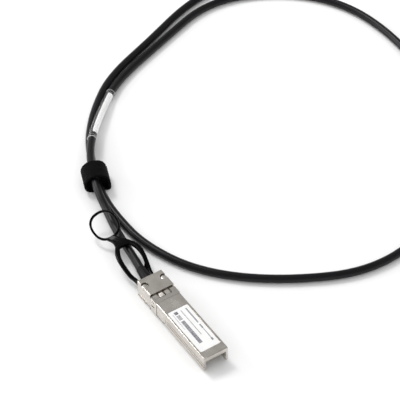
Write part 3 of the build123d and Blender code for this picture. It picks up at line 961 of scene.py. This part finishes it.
# Rows of print on the label: middle x, row width, from y, to y, shortest and longest mark, gap, ink
PRINT_ROWS = (
    (3.7, 0.75, -15.6, -26.2, 0.35, 0.8, 0.1, "pale"),
    (3.7, 0.7, -27.9, -30.5, 0.7, 1.1, 0.08, "dark"),
    (3.7, 0.45, -31.1, -37.2, 0.35, 0.7, 0.12, "pale"),
    (3.7, 0.9, -37.8, -38.7, 0.8, 0.8, 0.1, "dark"),
    (0.85, 0.42, -15.6, -33.5, 0.4, 0.8, 0.25, "pale"),
    (-2.15, 1.9, -17.7, -21.0, 0.3, 0.5, 0.25, "dark"),
    (-2.15, 1.9, -21.8, -37.8, 0.45, 0.95, 0.09, "dark"),
    (-4.05, 0.36, -16.1, -26.8, 0.3, 0.6, 0.4, "pale"),
)
PRINT_SQUARE = ((-3.05, -1.2), (-16.9, -15.1))
INK_THICK = 0.012
# Factors of the sine that gives each mark of a row its own length, the same in every run
MARK_FACTOR, ROW_FACTOR, SPREAD_FACTOR = 12.9898, 78.233, 43.7585


def scatter(mark, row):
    """A share between 0 and 1 that looks random but depends only on the mark and its row."""
    share = math.sin(MARK_FACTOR * (mark + 1) + ROW_FACTOR * (row + 1)) * SPREAD_FACTOR
    return share - math.floor(share)


def label(prefix):
    """Film label with plain printed marks: rows of short strokes, a bar row and one square."""
    top = LABEL_BOTTOM + LABEL_THICK
    ink_height = (top, top + INK_THICK)
    film = slab("label", rounded((-LABEL_HALF, LABEL_HALF), LABEL, LABEL_CORNER), LABEL_BOTTOM, top)
    marks = {"dark": [block("marks", *PRINT_SQUARE, ink_height)], "pale": []}
    for row, (x, width, y, end, short, long, gap, ink) in enumerate(PRINT_ROWS):
        count = 0
        while y > end:
            length = short + (long - short) * scatter(count, row)
            marks[ink].append(block("marks", (x - width / 2, x + width / 2), (y - length, y), ink_height))
            y -= length + gap
            count += 1
    film.data.materials.append(label_film)
    for name, ink in (("dark", dark_ink), ("pale", pale_ink)):
        join(marks[name])
        dress(marks[name][0], ink)
    join([film, marks["dark"][0], marks["pale"][0]])
    return hand_over(film, prefix, None, "body", "label")


for prefix in PLUGS:
    for build in (base_shell, cover_shell, spring_collar, cover_pins, pull_tab, boot, label):
        build(prefix)


# Marker and clear sleeve on the cable

# Both ends of sleeve and marker, as distances along the cable
SLEEVE = (115.0, 158.4)
PAPER = (119.4, 155.8)
# The marker's outer and inner radius, where it starts round the cable and how far it goes, in degrees
PAPER_OUTSIDE, PAPER_INSIDE = 2.25, 2.17
PAPER_START, PAPER_SWEEP = -8, 263
# Its round corners: share of the length, and degrees taken off at each side
PAPER_CORNER = ((0, 14), (0.01, 5), (0.02, 0))
PAPER_STEPS = 14
# The flared end of the sleeve: distance from its end, and outer radius
SLEEVE_END = ((0.0, 2.56), (0.12, 2.68), (0.6, 2.66), (1.6, 2.54), (3.4, 2.5), (5.0, 2.58))
SLEEVE_INSIDE = 2.28
# The slightly uneven middle of the sleeve: its mean radius, the wave on it, and its number of rings
SLEEVE_MIDDLE, SLEEVE_WAVE, SLEEVE_RINGS = 2.6, 0.025, 12


def marker_wrap():
    """White paper rolled round the cable and open along one side, with round corners."""
    length = PAPER[1] - PAPER[0]
    stations = [*PAPER_CORNER, *((i / PAPER_STEPS, 0) for i in range(1, PAPER_STEPS))]
    stations += [(1 - share, trim) for share, trim in reversed(PAPER_CORNER)]
    rings = []
    for share, trim in stations:
        here = PAPER[0] + length * share
        span = (PAPER_START + trim, PAPER_SWEEP - 2 * trim)
        inside = ring_round(here, PAPER_INSIDE, 36, *span)
        rings.append(ring_round(here, PAPER_OUTSIDE, 36, *span) + inside[::-1])
    wrap = loft("marker_wrap", rings)
    smooth(wrap, 40)
    dress(wrap, marker_paper)
    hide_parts("wire_label")
    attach(wrap, "body")
    return wrap


def clear_tube():
    """Clear sleeve shrunk over the marker: a little narrower beyond the paper, with slightly flared ends."""
    length = SLEEVE[1] - SLEEVE[0]
    outside = [(SLEEVE[0] + a, radius) for a, radius in SLEEVE_END]
    for i in range(1, SLEEVE_RINGS):
        here = SLEEVE[0] + 5.0 + (length - 8.5) * i / SLEEVE_RINGS
        outside.append((here, SLEEVE_MIDDLE + SLEEVE_WAVE * math.sin(2.1 * i)))
    outside += [(SLEEVE[1] - a, radius) for a, radius in reversed(SLEEVE_END[:-1])]
    inside = [(here, SLEEVE_INSIDE) for here, radius in reversed(outside[::2])]
    rings = [ring_round(here, radius, 40) for here, radius in outside + inside]
    tube = loft("clear_sleeve", rings, closed=True)
    smooth(tube, 50)
    dress(tube, clear_sleeve)
    tube.data.materials.append(sleeve_edge)
    for place, ahead in (along(here) for here in SLEEVE):
        for face in tube.data.polygons:
            if abs(face.normal.dot(ahead)) > 0.6 and (face.center / MM - place).length < 3:
                face.material_index = 1
    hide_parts("label_sleeve")
    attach(tube, "body")
    return tube


wire_label, label_sleeve = marker_wrap(), clear_tube()


# Tie

# The strap's two edges, at the middle of the bundle
TIE_FRONT = Vector((14.0, 84.4, 0))
TIE_REAR = Vector((18.35, 95.75, 0))
# Middle line of the strap across the bundle (right, up), from its inner end round to its lapped outer end
TIE_LINE = (
    (-0.6, 1.3),
    (-3.7, 0.95),
    (-5.6, 2.0),
    (-6.5, 4.4),
    (-6.3, 7.1),
    (-4.9, 9.6),
    (-2.6, 11.2),
    (0.4, 11.5),
    (3.2, 10.9),
    (5.2, 9.0),
    (6.25, 6.2),
    (6.65, 3.2),
    (6.1, 1.2),
    (4.2, 0.6),
    (0.4, 0.6),
)
TIE_HALF = 0.8
TIE_LOWEST = 0.02
PILE_VOXEL = 0.27
PILE_SIZE = 0.7
PILE_DEPTH = 0.5


def tie_outline():
    """Both faces of the strap seen along the bundle, one ring of (right, up) points."""
    line = smooth_line(TIE_LINE, 4)
    outer, inner = [], []
    for i, here in enumerate(line):
        step = (line[min(i + 1, len(line) - 1)] - line[max(i - 1, 0)]).normalized()
        side = Vector((-step.y, step.x))
        outer.append(here + side * TIE_HALF)
        inner.append(here - side * TIE_HALF)
    return outer + inner[::-1]


def tie_strap():
    """The hook-and-loop strap, wound once round both strands."""
    axis = (TIE_REAR - TIE_FRONT).normalized()
    across = Vector((axis.y, -axis.x, 0))
    outline = tie_outline()
    length = (TIE_REAR - TIE_FRONT).length
    rings = []
    for share in (0.0, 0.25, 0.5, 0.75, 1.0):
        start = TIE_FRONT + axis * (length * share)
        rings.append([start + across * p.x + Vector((0, 0, max(p.y, TIE_LOWEST))) for p in outline])
    strap = loft("hook_and_loop_strap", rings)
    # Short loops all over the skin, pressed in from the outline so that the strap stays on the table
    use(strap, "REMESH", mode="VOXEL", voxel_size=PILE_VOXEL * MM)
    use(strap, "SMOOTH", factor=0.5, iterations=5)
    pile = bpy.data.textures.new("pile", "CLOUDS")
    pile.noise_scale = PILE_SIZE * MM
    use(strap, "DISPLACE", texture=pile, strength=PILE_DEPTH * MM, mid_level=1.0)
    smooth(strap, 60)
    dress(strap, loop_pile)
    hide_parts("tie")
    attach(strap, "body")
    return strap


tie = tie_strap()


# Table and world

# In metres, a hair below the object so that the two never share a face
TABLE_SIZE, TABLE_Z = 6, -0.0002
WORLD_STRENGTH = 0.86
# Grey of the mirrored surroundings from the horizon to the zenith
TENT = ((0.05, grey(0.75)), (0.45, grey(0.36)), (0.8, grey(0.42)), (1.0, grey(0.3)))


def white_table():
    """A large dull white table under the object."""
    bpy.ops.mesh.primitive_plane_add(size=TABLE_SIZE, location=(0, 0, TABLE_Z))
    floor = bpy.context.object
    floor.name = "table"
    paint, tree, out = new_material("white table")
    values = {"Base Color": linear("f4f4f4"), "Roughness": 0.9, "Specular IOR Level": 0.1}
    shader = node(tree, "ShaderNodeBsdfPrincipled", values)
    tree.links.new(shader.outputs["BSDF"], out.inputs["Surface"])
    dress(floor, paint)


def studio():
    """White all round for the light it sheds, but grey where the object mirrors it, with a paler horizon."""
    world = bpy.data.worlds.new("studio")
    bpy.context.scene.world = world
    world.use_nodes = True
    tree = world.node_tree
    tree.nodes.clear()
    out = tree.nodes.new("ShaderNodeOutputWorld")
    glossy = node(tree, "ShaderNodeLightPath").outputs["Is Glossy Ray"]
    toward = node(tree, "ShaderNodeTexCoord").outputs["Generated"]
    height = node(tree, "ShaderNodeSeparateXYZ", links={0: toward}).outputs["Z"]
    tent = ramp(tree, height, TENT)
    white = node(tree, "ShaderNodeBackground", {"Color": (1, 1, 1, 1), "Strength": WORLD_STRENGTH})
    mirrored = node(tree, "ShaderNodeBackground", {"Strength": 1.0}, {"Color": tent})
    links = {0: glossy, 1: white.outputs[0], 2: mirrored.outputs[0]}
    mix = node(tree, "ShaderNodeMixShader", links=links)
    tree.links.new(mix.outputs[0], out.inputs["Surface"])


# Lamps and camera: name, place, target, size, all in metres, and power in watts
LAMPS = (
    ("key", (-0.15, 1.35, 1.75), (0.06, 0.06, 0), 0.7, 17),
    ("side", (-1.1, 1.35, 0.55), (0.02, 0.06, 0), 1.1, 12),
)
CAMERA_PLACE = (-0.29216, -0.47518, 0.62946)
CAMERA_TARGET = (0.05271, 0.04589, 0.005)
SENSOR, LENS, NEAREST = 36, 153, 0.01


def point_at(thing, place, target):
    """Puts a lamp or the camera in its place and turns it to its target."""
    bpy.context.scene.collection.objects.link(thing)
    thing.location = place
    thing.rotation_euler = (Vector(target) - Vector(place)).to_track_quat("-Z", "Y").to_euler()


def area_lamp(name, place, target, size, power):
    """A round area lamp."""
    data = bpy.data.lights.new(name, "AREA")
    data.shape = "DISK"
    data.size = size
    data.energy = power
    point_at(bpy.data.objects.new(name, data), place, target)


def photo_camera():
    """The photograph's camera."""
    data = bpy.data.cameras.new("camera")
    data.sensor_width = SENSOR
    data.lens = LENS
    data.clip_start = NEAREST
    camera = bpy.data.objects.new("camera", data)
    point_at(camera, CAMERA_PLACE, CAMERA_TARGET)
    bpy.context.scene.camera = camera


white_table()
studio()
for lamp in LAMPS:
    area_lamp(*lamp)
photo_camera()
bpy.context.scene.view_settings.view_transform = "Standard"

# What goes with the cable: tie, sleeve, marker, and the second plug as its made pieces or else its solids
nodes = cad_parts
on_cable = [tie, label_sleeve, wire_label]
on_cable += [bpy.data.objects.get(f"plug_b_{name}_piece") or nodes[f"plug_b_{name}"] for name in FINISH]
